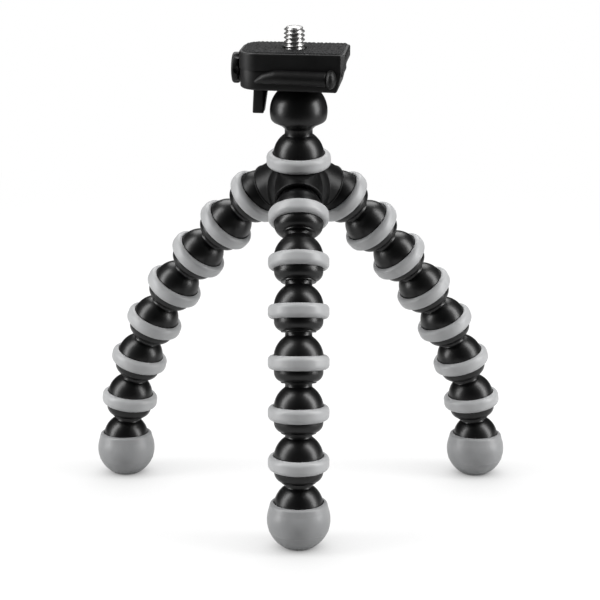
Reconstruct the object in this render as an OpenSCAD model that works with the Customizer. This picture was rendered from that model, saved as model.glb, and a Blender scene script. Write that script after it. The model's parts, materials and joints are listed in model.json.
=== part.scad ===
// Compact camera tripod with three flexible legs.
// Each leg is a chain of ball-and-socket links with rubber grip rings, and ends in a rubber foot.
// A ball stem on the hub carries a quick-release head with a 1/4 inch camera stud.
// X runs to the right, Y to the back and Z up; the feet stand on Z = 0.

/* [Leg links] */
// Distance between neighbouring ball centres of a leg
link_pitch = 15; // [14.8:0.1:18]
// Diameter of the balls on the links and on the hub's arms
ball_d = 14.9; // [13.5:0.1:15.2]
// Diameter of the neck between a link's cup and its ball
neck_d = 8.1; // [7:0.1:9]
// Diameter of the boss that the neck grows out of
boss_d = 10.6; // [9.8:0.1:11.6]
// Radial gap between a ball and the seat that turns on it
ball_gap = 0.02; // [0.02:0.01:0.06]
// Wall of a socket's rim outside its seat
rim_wall = 0.55; // [0.45:0.05:0.7]

/* [Grip rings and feet] */
// Wall of a leg's grip ring outside the socket's rim
ring_wall = 1.15; // [0.8:0.05:1.3]
// Wall of the hub's grip ring outside the hub's rim
hub_ring_wall = 1.4; // [1:0.05:1.7]
// Height of a grip ring along its axis
ring_h = 4.4; // [4.2:0.1:5]
// Radius of a grip ring's outer edges
ring_round = 1.5; // [0.8:0.1:1.8]
// Least wall of a foot's round boot, over its socket's rim
boot_wall = 0.47; // [0.3:0.01:1]
// Distance of the boot's centre below the last ball
foot_drop = 4.1; // [3.6:0.1:4.8]
// Depth of the flat that is cut off the boot's underside
foot_flat = 0.9; // [0.6:0.1:1.6]

/* [Hub and stem] */
// Distance of an arm's ball from the hub's axis
arm_reach = 14.6; // [14:0.1:16.5]
// Depth of an arm's ball below the stem's ball
arm_drop = 14.25; // [13.9:0.05:16]
// Angle of an arm from straight down
arm_tilt = 58; // [54:1:62]
// Diameter of the collar that an arm's ball comes out of
collar_d = 14.4; // [13:0.1:14.6]
// Diameter of the stem's ball in the hub
stem_ball_d = 15.9; // [15.4:0.1:16.8]
// Diameter of the stem's upper bulb under the head
bulb_d = 17.7; // [16.6:0.1:18.4]
// Distance from the stem's ball to its bulb
stem_rise = 13.85; // [13.4:0.05:16]
// Diameter of the stem's neck
stem_neck_d = 8.6; // [8:0.1:9.4]

/* [Stance] */
// Angle by which the hub leans to the front
hub_lean = 6; // [0:1:8]
// Angle by which the hub's socket leans further to the front than its arms
socket_lean = 4; // [0:1:8]
// Angle by which the head is turned to the right
head_turn = 6.5; // [0:0.5:20]
// Tilt of the front leg's first link from straight down
front_start = 36; // [30:1:40]
// Tilt of the front leg's last link
front_end = 1; // [0:1:6]
// Bend law of the front leg, low when most of the bend is near the hub
front_bow = 0.65; // [0.6:0.05:1]
// Tilt of the right leg's last link
right_end = 8.5; // [6:0.5:14]
// Bend law of the right leg, high when most of the bend is near the foot
right_bow = 1.7; // [1.2:0.05:1.8]
// Tilt of the left leg's last link
left_end = 8; // [6:0.5:14]
// Bend law of the left leg, high when most of the bend is near the foot
left_bow = 1.45; // [1.2:0.05:1.8]

/* [Head] */
// Length of the head from left to right
head_l = 32.4; // [30:0.1:36]
// Offset of the head's middle from the stem's axis
head_shift = -1.3; // [-2:0.1:0]
// Wall of the base in front of and behind its clamp
base_wall = 0.6; // [0.5:0.1:1.6]
// Web of the base between the bulb and the screw that holds it
pan_web = 2.05; // [1.6:0.05:2.6]
// Thickness of the camera plate
plate_t = 5.2; // [4.4:0.1:6]
// Height of the rubber pad over the plate
pad_proud = 0.5; // [0.4:0.1:0.9]
// Radius of the head's left corners
corner_r = 6; // [4:0.5:8]
// Chamfer of the plate's right corners
corner_cut = 2; // [1:0.1:3]
// Width of the plate's dovetail tongue at the seam
tongue_w = 12; // [11.6:0.1:12.4]
// Diameter of the camera stud, 1/4 inch
stud_d = 6.35; // [6.35]
// Length of the stud over the pad
stud_l = 6.2; // [5:0.1:7]
// Diameter of the knob on the head's left end
knob_d = 9.4; // [8:0.1:10]
// Thickness of the knob
knob_t = 2.3; // [2:0.1:3]
// Length of the release tab below the head
tab_l = 8.6; // [6:0.1:9.5]

/* [Hidden] */
$fn = 96;
// Legs in order, with the turn of each arm and of each leg's plane about Z, and the leg's count of links
leg_names = ["front", "right", "left"];
arm_turns = [-90, 30, 150];
leg_turns = [-90, 28, 150.5];
leg_links = [6, 7, 7];
leg_ends = [front_end, right_end, left_end];
leg_bows = [front_bow, right_bow, left_bow];
fit_gap = 0.05;
slide_gap = 0.1;
over = 1;

// Ball joint: how far a rim closes past the ball, the ring's lips over it, and the flat that is cut off the
// ball so that it clears the socket's floor at the greatest bend
ball_r = ball_d / 2;
neck_r = neck_d / 2;
boss_r = boss_d / 2;
stem_neck_r = stem_neck_d / 2;
stem_ball_r = stem_ball_d / 2;
bulb_r = bulb_d / 2;
rim_hold = 0.05;
ring_lip = 0.2;
ring_hook = 0.7;
lip_gap = 0.15;
lip_edge = 0.25;
ring_step = 0.65;
floor_t = 1.1;
floor_gap = 0.1;
neck_edge = 0.3;
boss_h = 0.2;
flat_share = 0.32;
most_bend = 37;
function seat_r(r) = r + ball_gap;
function rim_top(r) = sqrt(pow(seat_r(r), 2) - pow(r, 2)) + rim_hold;
function rim_r(r) = seat_r(r) + rim_wall;
function wall_r(r) = rim_r(r) - ring_step;
function ring_top(r) = rim_top(r) + ring_lip;
function ring_low(r) = ring_top(r) - ring_h;
function rim_low(r) = ring_low(r) + ring_hook;
function ball_cut(r) = flat_share * r;
function seat_low(r) = -r * cos(acos(flat_share) - most_bend) - floor_gap;
function cup_low(r) = seat_low(r) - floor_t;

// Foot: socket insert, and the round boot over it
foot_rim_wall = 0.3;
foot_cup_r = seat_r(ball_r) + foot_rim_wall;
foot_r = norm([foot_cup_r, rim_top(ball_r) + foot_drop]) + boot_wall;
foot_h = foot_drop + foot_r - foot_flat;

// Hub: collar on each arm, and the core that the arms grow out of
collar_r = collar_d / 2;
collar_sink = 2.6;
collar_back = ball_r - collar_sink;
collar_round = 0.6;
collar_wall = 0.75;
collar_recess = 1.2;
collar_l = arm_reach / sin(arm_tilt);
core_r = 10;
core_rise = 4.3;
core_under = 1.3;
core_low = arm_drop + core_under;

// Stem: shoulder under the bulb, and the flat on top of it that the head turns on
bulb_skirt_low = 2.7;
bulb_step = 1.15;
bulb_edge_r = stem_neck_r + bulb_step;
bulb_edge_low = 4.45;
bulb_foot_low = 5.5;
bulb_flat = 0.55;
bulb_top = bulb_r - bulb_flat;

// Screw that the head turns on, with its head in the base
pan_gap = 0.08;
pan_r = 1.5;
pan_head_r = 2.8;
pan_head_t = 0.9;
pan_depth = 5;
pan_cover = 0.62;
pan_head_low = bulb_top + pan_gap + pan_web;

// Dovetail: groove over the screw's head, and the tongue whose top is the seam of base and plate
tongue_t = 1.8;
tongue_flare = 1.1;
groove_low = pan_head_low + pan_head_t + pan_cover;
tongue_low = groove_low + slide_gap;
seam_h = tongue_low + tongue_t;

// Clamp jaw beside the tongue, and the depth of the head that follows from it
jaw_t = 1.3;
jaw_l = 13;
jaw_room = 0.75;
jaw_back_y = -tongue_w / 2 - tongue_flare - jaw_t;
base_inset = 0.25;
head_w = 2 * (jaw_room + base_wall + base_inset - jaw_back_y);

// Base: underside beside the bulb, and the shape of its ends
base_sink_left = 0.35;
base_sink_right = 0.75;
base_low_left = bulb_top - base_sink_left;
base_low_right = bulb_top - base_sink_right;
base_round = 1.5;
base_right_step = 1;
base_right_taper = 1.4;
plate_end_rise = 2;

// Plate, pad and camera stud
plate_top = seam_h + plate_t;
pad_sunk = 0.4;
pad_inset = 0.9;
pad_top = plate_top + pad_proud;
stud_r = stud_d / 2;
stud_gap = 0.075;
stud_head_r = 4.9;
stud_head_t = 1.9;
stud_head_rise = 0.3;
stud_head_gap = 0.2;
stud_slot_w = 1.4;
stud_slot_t = 0.9;
stud_tip = 0.8;
stud_relief = 0.2;
stud_free = 0.3;
stud_head_low = tongue_low + stud_head_rise;
pad_hole_gap = 0.5;
pad_hole_r = stud_r + stud_gap + pad_hole_gap;

// Lever that turns on a pin in the base's front and works the jaw
lever_inset = 5.8;
lever_drop = 2.25;
lever_out = 0.6;
lever_l = 15.5;
lever_nose_l = 5;
lever_ball_r = 2.8;
lever_thick_r = 2.2;
lever_thin_r = 2;
lever_nose_r = 0.8;
lever_stand = 0.12;
lever_pin_r = 0.9;
lever_pin_out = 1.4;
lever_pin_in = 2.8;
lever_x = head_l / 2 - lever_inset;
lever_y = -head_w / 2 - lever_out;
lever_z = seam_h - lever_drop;
jaw_end_gap = 1.5;
jaw_right = lever_x - lever_pin_r - jaw_end_gap;
jaw_left = jaw_right - jaw_l;

// Knob on the left end
knob_drop = 0.9;
knob_z = seam_h - knob_drop;
knob_round = 0.7;
knob_groove = 0.45;
knob_groove_at = 3;
knob_stand = 0.3;
knob_scoops = 6;
knob_scoop_r = 2.4;
knob_scoop_out = 0.9;
knob_shaft_r = 0.6;
knob_shaft_l = 2.6;
knob_cover = 0.6;
tongue_left = knob_shaft_l + knob_cover - head_l / 2;

// Release tab that swings on its trunnions in a slot under the groove
tab_inset = 6.2;
tab_t = 4.6;
tab_top_w = 4.3;
tab_tip_w = 2.6;
tab_lean = 0.5;
tab_room = 0.3;
tab_slot_l = 3.9;
tab_cover = 0.35;
trunnion_r = 0.7;
trunnion_l = 1.2;
tab_x = tab_inset - head_l / 2;
tab_z = groove_low - tab_cover - tab_room - tab_top_w / 2;

plastic = "#1c1d1f";
rubber = "#a3a4a6";
pad_rubber = "#2a2b2d";
steel = "#c9cbcd";

// Posture: tilt of each link, and the ball centres that follow from it
function total(list, i = 0) = i < len(list) ? list[i] + total(list, i + 1) : 0;
function bent(first, last, bow, share) = last + (first - last) * (1 - pow(share, bow));
function tilts(first, last, bow, count) =
    [for (i = [0:count - 1]) bent(first, last, bow, i / (count - 1))];
function fall(angles) = link_pitch * total([for (a = angles) cos(a)]);
function leaned(p) = [
    p.x,
    p.y * cos(hub_lean) - p.z * sin(hub_lean),
    p.y * sin(hub_lean) + p.z * cos(hub_lean)
];
function arm_ball(leg) = leaned([
    arm_reach * cos(arm_turns[leg]),
    arm_reach * sin(arm_turns[leg]),
    -arm_drop
]);

// The front leg sets the hub's height, and each side leg's first tilt is found so that its foot reaches down
function tilts_from(leg, first) = tilts(first, leg_ends[leg], leg_bows[leg], leg_links[leg]);
front_tilts = tilts_from(0, front_start);
hub_z = foot_h + fall(front_tilts) - arm_ball(0).z;
side_fall = hub_z + arm_ball(1).z - foot_h;
function side_start(leg, low, high, steps) =
    let (middle = (low + high) / 2)
    steps == 0 ? middle
    : fall(tilts_from(leg, middle)) > side_fall ? side_start(leg, middle, high, steps - 1)
    : side_start(leg, low, middle, steps - 1);
leg_tilts = [
    front_tilts,
    for (leg = [1:2]) tilts_from(leg, side_start(leg, leg_ends[leg], 85, 40))
];

function link_tilt(leg, i) = leg_tilts[leg][i - 1];
function link_dir(leg, i) =
    let (tilt = link_tilt(leg, i), turn = leg_turns[leg])
    [sin(tilt) * cos(turn), sin(tilt) * sin(turn), -cos(tilt)];
function ball_from_hub(leg, i) =
    i == 1 ? arm_ball(leg) : ball_from_hub(leg, i - 1) + link_pitch * link_dir(leg, i - 1);
function foot_from_hub(leg) = ball_from_hub(leg, leg_links[leg] + 1);

// The origin is under the middle of the stance
hub_at = [
    -(foot_from_hub(1).x + foot_from_hub(2).x) / 2,
    -(foot_from_hub(0).y + max(foot_from_hub(1).y, foot_from_hub(2).y)) / 2,
    hub_z
];

// Frames of the pieces
module at_hub() {
    translate(hub_at) rotate([hub_lean, 0, 0]) children();
}

module at_socket() {
    at_hub() rotate([socket_lean, 0, 0]) children();
}

module at_head() {
    at_hub() translate([0, 0, stem_rise]) rotate([0, 0, -head_turn]) children();
}

module at_plate() {
    at_head() translate([head_shift, 0, 0]) children();
}

module at_link(leg, i) {
    translate(hub_at + ball_from_hub(leg, i))
        rotate([0, -link_tilt(leg, i), leg_turns[leg]])
            children();
}

module at_foot(leg) {
    translate(hub_at + foot_from_hub(leg)) children();
}

module at_arm(leg) {
    rotate([0, 0, arm_turns[leg]])
        translate([arm_reach, 0, -arm_drop])
            rotate([0, -arm_tilt, 0])
                children();
}

// Half profiles, turned about the vertical axis
module band(r, low, high) {
    translate([0, low]) square([r, high - low]);
}

module round_band(r, low, high, round) {
    band(r - round, low, high);
    band(r, low + round, high - round);
    for (z = [low + round, high - round]) {
        translate([r - round, z]) circle(round);
    }
}

module half_disc(r, low, high) {
    intersection() {
        circle(r);
        band(r + over, low, high);
    }
}

module seat(r) {
    half_disc(seat_r(r), seat_low(r), seat_r(r));
}

module cup(r, low, round) {
    band(rim_r(r), rim_low(r), rim_top(r));
    band(wall_r(r), low + round, rim_top(r));
    band(wall_r(r) - round, low, rim_top(r));
    translate([wall_r(r) - round, low + round]) circle(round);
}

module ring_profile(r, outer) {
    difference() {
        round_band(outer, ring_low(r), ring_top(r), ring_round);
        band(wall_r(r), ring_low(r) - over, rim_low(r));
        band(rim_r(r), rim_low(r), rim_top(r));
        band(r + lip_gap, rim_top(r), ring_top(r) + over);
    }
}

// Leg pieces
module link(leg, i) {
    low = cup_low(ball_r);
    shoulder = wall_r(ball_r) - neck_r - neck_edge;
    color(plastic) at_link(leg, i) rotate_extrude() difference() {
        union() {
            cup(ball_r, low, shoulder);
            band(neck_r, -link_pitch, low);
            band(boss_r, low - boss_h, low + floor_t);
            translate([0, -link_pitch]) half_disc(ball_r, -ball_cut(ball_r), ball_r);
        }
        seat(ball_r);
    }
}

module ring(leg, i) {
    color(rubber) at_link(leg, i) rotate_extrude() ring_profile(ball_r, rim_r(ball_r) + ring_wall);
}

module foot_cup() {
    low = cup_low(ball_r);
    band(foot_cup_r - floor_t, low, rim_top(ball_r));
    band(foot_cup_r, low + floor_t, rim_top(ball_r));
    translate([foot_cup_r - floor_t, low + floor_t]) circle(floor_t);
}

module foot_socket(leg) {
    color(plastic) at_foot(leg) rotate_extrude() difference() {
        foot_cup();
        seat(ball_r);
    }
}

module foot_boot(leg) {
    mouth_r = ball_r + lip_gap;
    mouth_z = sqrt(pow(foot_r, 2) - pow(mouth_r + lip_edge, 2)) - foot_drop;
    color(rubber) at_foot(leg) rotate_extrude() difference() {
        translate([0, -foot_drop]) half_disc(foot_r, foot_drop - foot_h, foot_drop + mouth_z);
        foot_cup();
        band(mouth_r, seat_low(ball_r), mouth_z + over);
    }
}

// Hub with its socket for the stem and an arm for each leg
module arm_collar() {
    rotate_extrude() intersection() {
        round_band(collar_r, collar_back, collar_l, collar_round);
        band(collar_r, collar_back, collar_l);
    }
}

module arm_recess() {
    rotate_extrude() band(collar_r - collar_wall, collar_back - over, collar_back + collar_recess);
}

module arm_ball_solid() {
    rotate_extrude() half_disc(ball_r, -ball_cut(ball_r), ball_r);
}

module hub_body() {
    at_socket() rotate_extrude() cup(stem_ball_r, -core_low, floor_t);
    intersection() {
        at_hub() {
            translate([0, 0, core_rise - arm_drop]) sphere(core_r);
            for (leg = [0:2]) at_arm(leg) arm_collar();
        }
        at_socket() translate([0, 0, -core_low])
            cylinder(r = 2 * arm_reach, h = core_low + ring_low(stem_ball_r));
    }
}

module hub() {
    color(plastic) difference() {
        union() {
            difference() {
                hub_body();
                at_hub() for (leg = [0:2]) at_arm(leg) arm_recess();
            }
            at_hub() for (leg = [0:2]) at_arm(leg) arm_ball_solid();
        }
        at_socket() rotate_extrude() seat(stem_ball_r);
    }
}

module hub_ring() {
    outer = rim_r(stem_ball_r) + hub_ring_wall;
    color(rubber) at_socket() rotate_extrude() ring_profile(stem_ball_r, outer);
}

// Stem: ball in the hub, neck, and the bulb that the head turns on
module bulb() {
    intersection() {
        circle(bulb_r);
        polygon([
            [0, bulb_top],
            [bulb_r, bulb_top],
            [bulb_r, -bulb_skirt_low],
            [bulb_edge_r, -bulb_edge_low],
            [stem_neck_r, -bulb_foot_low],
            [0, -bulb_foot_low]
        ]);
    }
}

module stem() {
    color(plastic) at_hub() difference() {
        rotate_extrude() {
            half_disc(stem_ball_r, -ball_cut(stem_ball_r), stem_ball_r);
            band(stem_neck_r, 0, stem_rise);
            translate([0, stem_rise]) bulb();
        }
        translate([0, 0, stem_rise + bulb_top - pan_depth]) cylinder(r = pan_r, h = pan_depth + over);
    }
}

module pan_screw() {
    color(steel) at_head() {
        translate([0, 0, bulb_top - pan_depth]) cylinder(r = pan_r, h = pan_head_low - bulb_top + pan_depth);
        translate([0, 0, pan_head_low]) cylinder(r = pan_head_r, h = pan_head_t);
    }
}

// Outline of the head from above, with round corners on the left and cut ones on the right
module head_outline(inset) {
    half_l = head_l / 2;
    half_w = head_w / 2;
    translate([corner_r - half_l, inset - half_w])
        square([head_l - corner_r - corner_cut, head_w - 2 * inset]);
    translate([inset - half_l, corner_r - half_w]) square([corner_r, head_w - 2 * corner_r]);
    for (side = [-1, 1]) {
        translate([corner_r - half_l, side * (half_w - corner_r)]) circle(corner_r - inset);
    }
    polygon([
        [half_l - corner_cut - over, inset - half_w],
        [half_l - corner_cut, inset - half_w],
        [half_l - inset, corner_cut - half_w],
        [half_l - inset, half_w - corner_cut],
        [half_l - corner_cut, half_w - inset],
        [half_l - corner_cut - over, half_w - inset]
    ]);
}

// Side view of the base: sloping underside, round lower left edge and tapered right end
module base_side() {
    left = base_inset - head_l / 2;
    right = head_l / 2 - base_right_step;
    low_right = right - base_right_taper;
    polygon([
        [left, seam_h],
        [left, base_low_left + base_round],
        [left + base_round, base_low_left + base_round],
        [left + base_round, base_low_left],
        [low_right, base_low_right],
        [right, seam_h]
    ]);
    translate([left + base_round, base_low_left + base_round]) circle(base_round);
}

module along_y(depth) {
    translate([0, depth / 2, 0]) rotate([90, 0, 0]) linear_extrude(depth) children();
}

module along_x(from, to) {
    translate([from, 0, 0]) rotate([90, 0, 90]) linear_extrude(to - from) children();
}

// Cross-section of the dovetail, wider by the gap on each side
module dovetail(gap) {
    half = tongue_w / 2 + gap;
    polygon([
        [-half, seam_h + gap],
        [-half - tongue_flare, tongue_low - gap],
        [half + tongue_flare, tongue_low - gap],
        [half, seam_h + gap]
    ]);
}

// Cross-section of the jaw, with a flank that follows the tongue's
module jaw_section(gap, room) {
    half = tongue_w / 2 + fit_gap - gap;
    polygon([
        [-half - tongue_flare * slide_gap / tongue_t, seam_h - slide_gap + gap],
        [-half - tongue_flare, tongue_low - gap],
        [jaw_back_y - room, tongue_low - gap],
        [jaw_back_y - room, seam_h - slide_gap + gap]
    ]);
}

// Lever: half-round bar with a nose on the left and a ball end round its pin on the right
module lever_bar() {
    translate([lever_x, lever_y, lever_z]) rotate([0, -90, 0]) {
        sphere(lever_ball_r);
        cylinder(r1 = lever_thick_r, r2 = lever_thin_r, h = lever_l);
        translate([0, 0, lever_l]) cylinder(r1 = lever_thin_r, r2 = lever_nose_r, h = lever_nose_l);
        translate([0, 0, lever_l + lever_nose_l]) sphere(lever_nose_r);
    }
}

module lever_bore(r) {
    translate([lever_x, lever_y + lever_pin_in, lever_z]) rotate([90, 0, 0])
        cylinder(r = r, h = lever_pin_in + lever_pin_out);
}

module tab_side() {
    half = tab_top_w / 2;
    low = base_low_left - tab_l;
    translate([tab_x, tab_z]) circle(half);
    polygon([
        [tab_x - half, tab_z],
        [tab_x - half - tab_lean, low],
        [tab_x - half - tab_lean + tab_tip_w, low],
        [tab_x + half, tab_z]
    ]);
}

// Slot for the tab, with room on the left for its swing
module tab_slot() {
    half = tab_top_w / 2 + tab_room;
    translate([tab_x, tab_z]) circle(half);
    translate([tab_x - tab_slot_l, 0]) square([tab_slot_l, tab_z + 2 * tab_room]);
    translate([tab_x, 0]) square([half, tab_z]);
}

module head_base() {
    color(plastic) at_plate() difference() {
        intersection() {
            translate([0, 0, base_low_right])
                linear_extrude(seam_h - base_low_right) head_outline(base_inset);
            along_y(head_w) base_side();
        }
        translate([-head_shift, 0, 0]) {
            rotate_extrude() half_disc(bulb_r + pan_gap, 0, bulb_top + pan_gap);
            cylinder(r = pan_r + fit_gap, h = seam_h);
            translate([0, 0, pan_head_low]) cylinder(r = pan_head_r + slide_gap, h = seam_h);
        }
        along_x(tongue_left - slide_gap, head_l) dovetail(slide_gap);
        along_x(jaw_left - slide_gap, jaw_right + slide_gap) jaw_section(slide_gap, jaw_room);
        lever_bore(lever_pin_r);
        translate([-head_l, 0, knob_z]) rotate([0, 90, 0])
            cylinder(r = knob_shaft_r + fit_gap, h = head_l / 2 + knob_shaft_l + slide_gap);
        along_y(tab_t + 2 * slide_gap) tab_slot();
        translate([tab_x, 0, tab_z]) rotate([90, 0, 0])
            cylinder(r = trunnion_r + fit_gap, h = tab_t + 2 * (trunnion_l + slide_gap), center = true);
    }
}

module lever_pin() {
    color(steel) at_plate() lever_bore(lever_pin_r);
}

module clamp_lever() {
    back = -head_w / 2 - lever_stand;
    color(plastic) at_plate() difference() {
        lever_bar();
        translate([-head_l, back, 0]) cube([2 * head_l, head_w, plate_top]);
        lever_bore(lever_pin_r + fit_gap);
    }
}

module clamp_jaw() {
    color(plastic) at_plate() along_x(jaw_left, jaw_right) jaw_section(0, 0);
}

// Knob: round rim with finger scoops on the side of the base
module side_knob() {
    low = -head_l / 2 - knob_stand - knob_t;
    color(plastic) at_plate() translate([low, 0, knob_z]) rotate([0, 90, 0]) {
        difference() {
            rotate_extrude() difference() {
                round_band(knob_d / 2, 0, knob_t, knob_round);
                translate([knob_groove_at, 0]) circle(knob_groove);
            }
            for (i = [0:knob_scoops - 1]) {
                rotate([0, 0, 360 * (i + 0.5) / knob_scoops])
                    translate([knob_d / 2 + knob_scoop_out, 0, knob_t]) sphere(knob_scoop_r);
            }
        }
        translate([0, 0, knob_t / 2]) cylinder(r = knob_shaft_r, h = knob_t / 2 + knob_stand + knob_shaft_l);
    }
}

module release_tab() {
    color(plastic) at_plate() {
        along_y(tab_t) tab_side();
        translate([tab_x, 0, tab_z]) rotate([90, 0, 0])
            cylinder(r = trunnion_r, h = tab_t + 2 * trunnion_l, center = true);
    }
}

// Wedge that is cut off under the plate's right end
module plate_end() {
    half = head_l / 2;
    polygon([
        [half - base_right_step, seam_h - over],
        [half - base_right_step, seam_h],
        [half, seam_h + plate_end_rise],
        [half + over, seam_h + plate_end_rise],
        [half + over, seam_h - over]
    ]);
}

module camera_plate() {
    color(plastic) at_plate() difference() {
        union() {
            translate([0, 0, seam_h]) linear_extrude(plate_t) head_outline(0);
            along_x(tongue_left, head_l / 2 - base_right_step) dovetail(0);
        }
        along_y(head_w + over) plate_end();
        translate([0, 0, plate_top - pad_sunk]) linear_extrude(pad_sunk + over) head_outline(pad_inset);
        cylinder(r = stud_r + stud_gap, h = plate_top);
        cylinder(r = stud_head_r + stud_head_gap, h = stud_head_low + stud_head_t + slide_gap);
    }
}

module grip_pad() {
    color(pad_rubber) at_plate() difference() {
        translate([0, 0, plate_top - pad_sunk]) linear_extrude(pad_sunk + pad_proud) head_outline(pad_inset);
        cylinder(r = pad_hole_r, h = pad_top + over);
    }
}

module camera_screw() {
    tip_z = pad_top + stud_l;
    color(steel) at_plate() difference() {
        rotate_extrude() {
            band(stud_head_r, stud_head_low, stud_head_low + stud_head_t);
            band(stud_r - stud_relief, stud_head_low, pad_top + stud_free);
            band(stud_r, pad_top + stud_free, tip_z - stud_tip);
            polygon([
                [0, tip_z - stud_tip],
                [stud_r, tip_z - stud_tip],
                [stud_r - stud_tip, tip_z],
                [0, tip_z]
            ]);
        }
        translate([-stud_head_r - over, -stud_slot_w / 2, 0])
            cube([2 * (stud_head_r + over), stud_slot_w, stud_head_low + stud_slot_t]);
    }
}

hub();
hub_ring();
stem();
pan_screw();
head_base();
lever_pin();
clamp_lever();
clamp_jaw();
side_knob();
release_tab();
camera_plate();
grip_pad();
camera_screw();
for (leg = [0:2]) {
    for (i = [1:leg_links[leg]]) {
        link(leg, i);
        ring(leg, i);
    }
    foot_socket(leg);
    foot_boot(leg);
}
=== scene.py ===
import json
import math

import bmesh
import bpy
from mathutils import Matrix, Vector, noise


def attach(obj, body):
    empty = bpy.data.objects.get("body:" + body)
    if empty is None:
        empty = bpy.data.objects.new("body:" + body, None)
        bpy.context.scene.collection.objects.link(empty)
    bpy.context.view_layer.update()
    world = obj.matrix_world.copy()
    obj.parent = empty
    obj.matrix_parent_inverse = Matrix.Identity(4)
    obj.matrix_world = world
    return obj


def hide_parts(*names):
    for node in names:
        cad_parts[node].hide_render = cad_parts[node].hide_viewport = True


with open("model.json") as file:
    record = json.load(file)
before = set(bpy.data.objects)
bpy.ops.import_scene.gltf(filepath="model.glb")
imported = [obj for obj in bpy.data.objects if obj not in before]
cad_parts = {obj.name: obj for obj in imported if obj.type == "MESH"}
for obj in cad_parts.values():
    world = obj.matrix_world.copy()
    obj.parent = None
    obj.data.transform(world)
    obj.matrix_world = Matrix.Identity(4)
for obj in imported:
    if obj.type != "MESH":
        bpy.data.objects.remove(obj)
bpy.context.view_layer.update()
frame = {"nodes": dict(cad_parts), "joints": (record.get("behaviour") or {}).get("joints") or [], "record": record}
joints = {joint["name"]: joint for joint in frame["joints"]}
legLinks = {"front": 6, "right": 7, "left": 7}
mm = 0.001  # pieces are drawn in millimetres and placed in metres


# where things are, read from the frame's joints
def jointPlace(name):
    return Vector(joints[name]["pos_m"])


def jointAxis(name):
    return Vector(joints[name]["axis"]).normalized()


def frameAt(origin, up, right):
    zAxis = up.normalized()
    yAxis = zAxis.cross(right).normalized()
    turn = Matrix((yAxis.cross(zAxis), yAxis, zAxis)).transposed().to_4x4()
    return Matrix.Translation(origin) @ turn @ Matrix.Scale(mm, 4)


def ballJoint(leg, i):
    return f"{leg}_ball_{i}" if i <= legLinks[leg] else f"{leg}_foot_ball"


# shader groups shared by several finishes
def addNode(tree, kind, **settings):
    node = tree.nodes.new(kind)
    for key, value in settings.items():
        setattr(node, key, value)
    return node


def fill(node, **values):
    for key, value in values.items():
        node.inputs[key.replace("_", " ")].default_value = value
    return node


def combine(tree, operation, first, second):
    # a maths node fed by sockets or by plain numbers
    node = addNode(tree, "ShaderNodeMath", operation=operation)
    for socket, value in zip(node.inputs, (first, second)):
        if isinstance(value, float):
            socket.default_value = value
        else:
            tree.links.new(value, socket)
    return node.outputs[0]


def newGroup(name, inputs, outputs):
    group = bpy.data.node_groups.new(name, "ShaderNodeTree")
    for label, kind in inputs.items():
        group.interface.new_socket(label, in_out="INPUT", socket_type=kind)
    for label in outputs:
        group.interface.new_socket(label, in_out="OUTPUT", socket_type="NodeSocketFloat")
    return group, addNode(group, "NodeGroupInput"), addNode(group, "NodeGroupOutput")


def buildMouldGrain():
    # fine grain of a moulded skin, and slow clouds of tone over it
    sockets = {"Vector": "NodeSocketVector", "Grain scale": "NodeSocketFloat", "Cloud scale": "NodeSocketFloat"}
    group, enter, leave = newGroup("mouldGrain", sockets, ("Grain", "Cloud"))
    for label, detail in (("Grain", 3.0), ("Cloud", 2.0)):
        field = fill(addNode(group, "ShaderNodeTexNoise"), Detail=detail, Roughness=0.55)
        group.links.new(enter.outputs["Vector"], field.inputs["Vector"])
        group.links.new(enter.outputs[label + " scale"], field.inputs["Scale"])
        group.links.new(field.outputs["Fac"], leave.inputs[label])
    return group


def buildPaintedEdgeHighlight():
    # painted highlight: convex edges are made lighter, broken up by the grain
    sockets = {"Pointiness": "NodeSocketFloat", "Grain": "NodeSocketFloat"}
    group, enter, leave = newGroup("paintedEdgeHighlight", sockets, ("Highlight",))
    edge = addNode(group, "ShaderNodeMapRange", interpolation_type="SMOOTHSTEP")
    fill(edge, From_Min=0.52, From_Max=0.62)
    group.links.new(enter.outputs["Pointiness"], edge.inputs["Value"])
    broken = combine(group, "MULTIPLY", edge.outputs["Result"], enter.outputs["Grain"])
    group.links.new(broken, leave.inputs["Highlight"])
    return group


mouldGrain = buildMouldGrain()
paintedEdgeHighlight = buildPaintedEdgeHighlight()


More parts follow.
